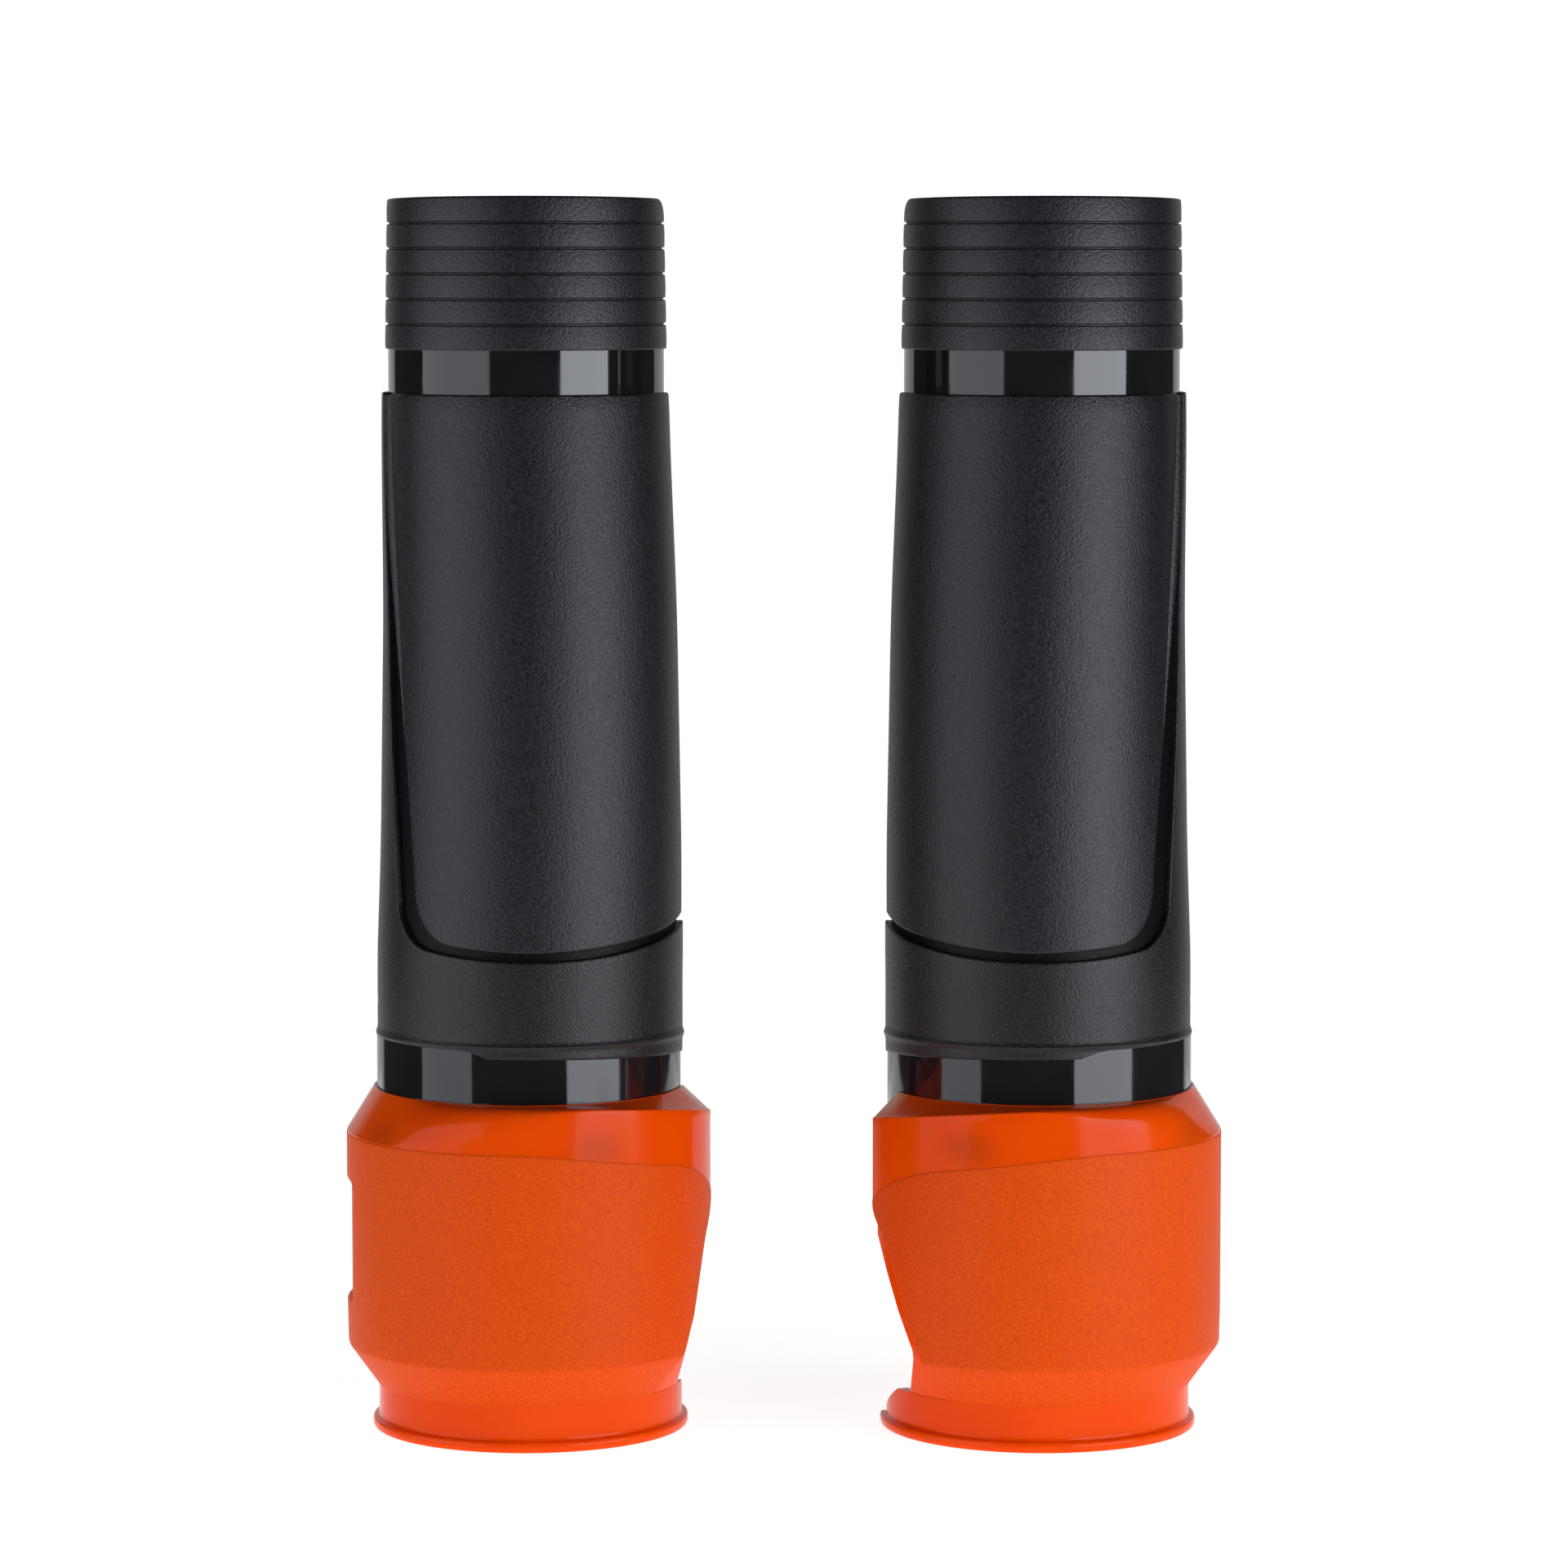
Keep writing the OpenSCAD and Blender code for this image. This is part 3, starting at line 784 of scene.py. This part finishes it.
def grained(name, dark, light, roughness, grain, strength, shine=0.5):
    """Spark-eroded plastic: a fine speckle in colour, sheen and relief."""
    material, shader = new_material(name, roughness, Specular_IOR_Level=shine)
    speck = noise(material, grain, 2.0, 0.6)
    broad = noise(material, grain / 14, 2.0)
    tint = blend_colour(material, remap(material, speck, 0.36, 0.66, 0, 1), dark, light)
    shade = blend_colour(material, remap(material, broad, 0.2, 0.8, 0.0, 0.22), tint, dark)
    link(material, shade, shader.inputs["Base Color"])
    rough = remap(material, speck, 0.3, 0.7, roughness - 0.08, roughness + 0.08)
    link(material, rough, shader.inputs["Roughness"])
    link(material, bump(material, speck, strength, 0.00018), shader.inputs["Normal"])
    return material


def math_node(material, kind, a, b=None):
    node = add(material, "ShaderNodeMath", operation=kind)
    for socket, value in zip(node.inputs, (a, b)):
        if value is None:
            continue
        if isinstance(value, (int, float)):
            socket.default_value = value
        else:
            link(material, value, socket)
    return node.outputs[0]


def near_point(material, point, size):
    """1 at a point and 0 outside a soft ellipsoid round it."""
    shift = add(material, "ShaderNodeVectorMath", operation="SUBTRACT")
    link(material, place_of(material), shift.inputs[0])
    shift.inputs[1].default_value = point
    scaled = add(material, "ShaderNodeVectorMath", operation="DIVIDE")
    link(material, shift.outputs[0], scaled.inputs[0])
    scaled.inputs[1].default_value = size
    length = add(material, "ShaderNodeVectorMath", operation="LENGTH")
    link(material, scaled.outputs[0], length.inputs[0])
    node = add(material, "ShaderNodeMapRange", interpolation_type="SMOOTHSTEP")
    for key, number in zip(("From Min", "From Max", "To Min", "To Max"), (0.2, 1.0, 1.0, 0.0)):
        node.inputs[key].default_value = number
    link(material, length.outputs["Value"], node.inputs["Value"])
    return node.outputs["Result"]


def on_leg(side, theta, r, z):
    """A point in a piece's own coordinates, in metres, mirrored for the right hand."""
    x, y, z = polar(np.float64(theta), r, z) * M
    return (-x if side == "right" else x, y, z)


def polished_orange(side):
    """Translucent orange, with painted shade where a lug stands behind the wall and a painted pale
    patch of light at its thin inner end.
    """
    numbers = {"Subsurface_Weight": 0.25, "Subsurface_Scale": 0.0022, "Specular_IOR_Level": 0.10}
    material, shader = new_material("polished_orange_" + side, 0.15, **numbers)
    shader.inputs["Subsurface Radius"].default_value = (1.0, 0.35, 0.1)
    wide = noise(material, 45.0, 2.0)
    tint = blend_colour(material, remap(material, wide, 0.3, 0.7, 0, 1),
                        (0.80, 0.063, 0.0006), (0.84, 0.080, 0.0010))
    turn = RIGHT_TURN if side == "right" else 0.0
    # Painted shade: a dark brownish patch wherever a lug stands behind the translucent wall.
    for angle in lug_angles():
        spot = on_leg(side, angle, GUARD_R - 1, (LUG_LOW + LUG_TOP) / 2 + 1)
        lug_shadow_spot = near_point(material, spot, (0.0090, 0.0090, 0.0058))
        shade = math_node(material, "MULTIPLY", lug_shadow_spot, 0.3)
        tint = blend_colour(material, shade, tint, (0.26, 0.05, 0.006))
    # Painted light: a pale tan patch near the shoulder's inner end, standing in for light passing
    # through and reflecting off the thin shelf.
    end = on_leg(side, SPLIT_INNER - turn, GUARD_R - 3, RIM_TOP - 1)
    painted_light_spot = near_point(material, end, (0.0075, 0.0085, 0.0062))
    painted_light_amount = math_node(material, "MULTIPLY", painted_light_spot, 0.9)
    tint = blend_colour(material, painted_light_amount, tint, (0.80, 0.50, 0.28))
    link(material, tint, shader.inputs["Base Color"])
    link(material, remap(material, wide, 0.3, 0.7, 0.12, 0.20), shader.inputs["Roughness"])
    link(material, bump(material, wide, 0.15, 0.0004), shader.inputs["Normal"])
    return material


def make_materials():
    """Every material but the polished orange, by slot; each pair of colours is dark and light."""
    cuff = (0.0065, 0.0065, 0.0082), (0.020, 0.0198, 0.0240)
    panel = (0.0030, 0.0030, 0.0045), (0.0150, 0.0150, 0.0195)
    rim = (0.0040, 0.0040, 0.0046), (0.0140, 0.0138, 0.0155)
    rubber = (0.03, 0.03, 0.03), (0.06, 0.06, 0.06)
    # Painted shade: near-black colours for the groove liner, darker than the frame and panel on either
    # side.
    groove = (0.0020, 0.0016, 0.0018), (0.0050, 0.0040, 0.0044)
    orange = (0.69, 0.060, 0.0010), (0.81, 0.098, 0.0040)
    return {
        "black_gloss": polished_black(),
        # Painted shade for the groove between frame and panel: a darker grain with little sheen.
        "groove_shade_black": grained("groove_shade_black", *groove, 0.45, 1500, 0.3, 0.12),
        "cuff_matte": grained("cuff_grain", *cuff, 0.42, 1500, 0.9, 0.43),
        "panel_matte": grained("panel_grain", *panel, 0.42, 1600, 0.95, 0.43),
        "frame_matte": grained("frame_grain", *rim, 0.41, 1800, 0.8, 0.38),
        "pad_rubber": grained("cell_rubber", *rubber, 0.8, 900, 0.6),
        "orange_matte": grained("orange_grain", *orange, 0.5, 1700, 0.5, 0.10),
    }


# ---------------------------------------------------------------- the two hands

def build_sleeve(side, materials):
    """One hand's black pieces; the lugs stay as the frame's own."""
    looks = [
        ("core_sleeve", core_sheet(), "black_gloss"),
        ("ribbed_cuff", cuff_sheet(), "cuff_matte"),
        ("side_panel", panel_sheet(), "panel_matte"),
        ("shield_frame", frame_sheet(), "frame_matte"),
        ("shield_bead", bead_sheet(), "frame_matte"),
        ("middle_pad", pad_sheet("middle_pad"), "pad_rubber"),
        ("foot_pad", pad_sheet("foot_pad"), "pad_rubber"),
    ]
    for name, sheet, slot in looks:
        make_piece(side, name, [sheet], materials[slot], "sleeve")
    # The groove liner paints the shade that falls in the groove between the frame and the panel.
    painted_groove_shade = materials["groove_shade_black"]
    make_piece(side, "core_sleeve", [groove_shade_sheet()], painted_groove_shade, "sleeve", look="groove_shade_floor")
    flank = materials["panel_matte"]
    make_piece(side, "side_panel", [ramp_sheet()], flank, "sleeve", look="panel_flank")
    lugs = frame["nodes"][side + "_snap_lugs"]
    lugs.data.materials.clear()
    lugs.data.materials.append(materials["black_gloss"])


def build_guard(side, materials):
    """One hand's orange pieces, which turn together."""
    gloss = polished_orange(side)
    sheets = [shell_sheet()] + track_sheets()
    make_piece(side, "guard_shell", sheets, gloss, "guard", RIGHT_TURN, 28)
    make_piece(side, "guard_lip", [lip_sheet()], gloss, "guard", RIGHT_TURN)
    matte = materials["orange_matte"]
    make_piece(side, "guard_skirt", [skirt_sheet()], matte, "guard", RIGHT_TURN)


# ---------------------------------------------------------------- studio

def flat_panel(name, corners, material):
    """One flat sheet of the studio, outside the object."""
    mesh = bpy.data.meshes.new(name)
    mesh.from_pydata(corners, [], [(0, 1, 2, 3)])
    mesh.materials.append(material)
    panel = bpy.data.objects.new(name, mesh)
    bpy.context.scene.collection.objects.link(panel)
    return panel


def glow_material(name, colour, glow):
    material, shader = new_material(name, 0.9)
    shader.inputs["Base Color"].default_value = (*colour, 1)
    shader.inputs["Emission Color"].default_value = (1, 1, 1, 1)
    shader.inputs["Emission Strength"].default_value = glow
    shader.inputs["Specular IOR Level"].default_value = 0.0
    return material


def add_floor():
    """A pale table, and a pale room round it that only the camera sees."""
    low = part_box("left_guard_lip")[0].z - 0.0002
    table = [(-0.4, -0.3, low), (0.4, -0.3, low), (0.4, 0.5, low), (-0.4, 0.5, low)]
    flat_panel("floor", table, glow_material("pale_floor", (0.8, 0.8, 0.8), 0.86))
    white = glow_material("pale_room", (0.0, 0.0, 0.0), 1.0)
    deep = low - 0.001
    wide = [(-9, -9, deep), (9, -9, deep), (9, 9, deep), (-9, 9, deep)]
    room = [flat_panel("room_floor", wide, white)]
    for name, (ax, ay), (bx, by) in (("back", (-9, 9), (9, 9)), ("front", (9, -9), (-9, -9)),
                                     ("right", (9, 9), (9, -9)), ("left", (-9, -9), (-9, 9))):
        wall = [(ax, ay, deep), (bx, by, deep), (bx, by, 9), (ax, ay, 9)]
        room.append(flat_panel("room_" + name, wall, white))
    for part in room:
        part.visible_diffuse = False
        part.visible_glossy = False
        part.visible_transmission = False
        part.visible_shadow = False


def add_softbox(name, azimuth, distance, width, height, middle, radiance, colour):
    """An upright area light that faces the axis of the scene; azimuth 0 is in front."""
    light = bpy.data.lights.new(name, "AREA")
    light.shape = "RECTANGLE"
    light.size, light.size_y = width, height
    light.energy = radiance * math.pi * width * height
    light.color = colour
    box = bpy.data.objects.new(name, light)
    a = math.radians(azimuth)
    box.location = (distance * math.sin(a), -distance * math.cos(a), middle)
    box.rotation_euler = (math.radians(90), 0, a)
    box.visible_camera = False
    bpy.context.scene.collection.objects.link(box)


def add_world(level):
    world = bpy.data.worlds.new("room")
    world.use_nodes = True
    shade = world.node_tree.nodes["Background"]
    shade.inputs["Color"].default_value = (0.97, 0.98, 1.0, 1)
    shade.inputs["Strength"].default_value = level
    bpy.context.scene.world = world


def add_camera():
    """A long lens in front of the pair, looking slightly down."""
    camera = bpy.data.cameras.new("camera")
    camera.sensor_width = 36.0
    camera.lens = 131.4
    eye = bpy.data.objects.new("camera", camera)
    eye.location = (0.0, -1.304, 0.2689)
    eye.rotation_euler = (math.radians(84.7), 0, 0)
    bpy.context.scene.collection.objects.link(eye)
    bpy.context.scene.camera = eye


def add_studio():
    add_floor()
    cool = (0.89, 0.93, 1.0)
    add_softbox("softbox_left", -61.5, 0.9, 1.07, 0.46, 0.23, 2.2, cool)
    add_softbox("softbox_left_foot", -64.0, 0.9, 0.68, 0.2, -0.1, 1.8, cool)
    add_softbox("softbox_right", 49.5, 0.9, 0.74, 0.26, 0.19, 6.8, cool)
    add_softbox("softbox_right_foot", 49.5, 0.9, 0.74, 0.18, -0.03, 4.4, cool)
    add_softbox("softbox_back", 180.0, 0.8, 1.5, 0.8, 0.18, 0.65, (1.0, 1.0, 1.0))
    add_world(0.035)
    add_camera()
    bpy.context.scene.view_settings.view_transform = "Standard"


materials = make_materials()
for side in ("left", "right"):
    build_sleeve(side, materials)
    build_guard(side, materials)
add_studio()
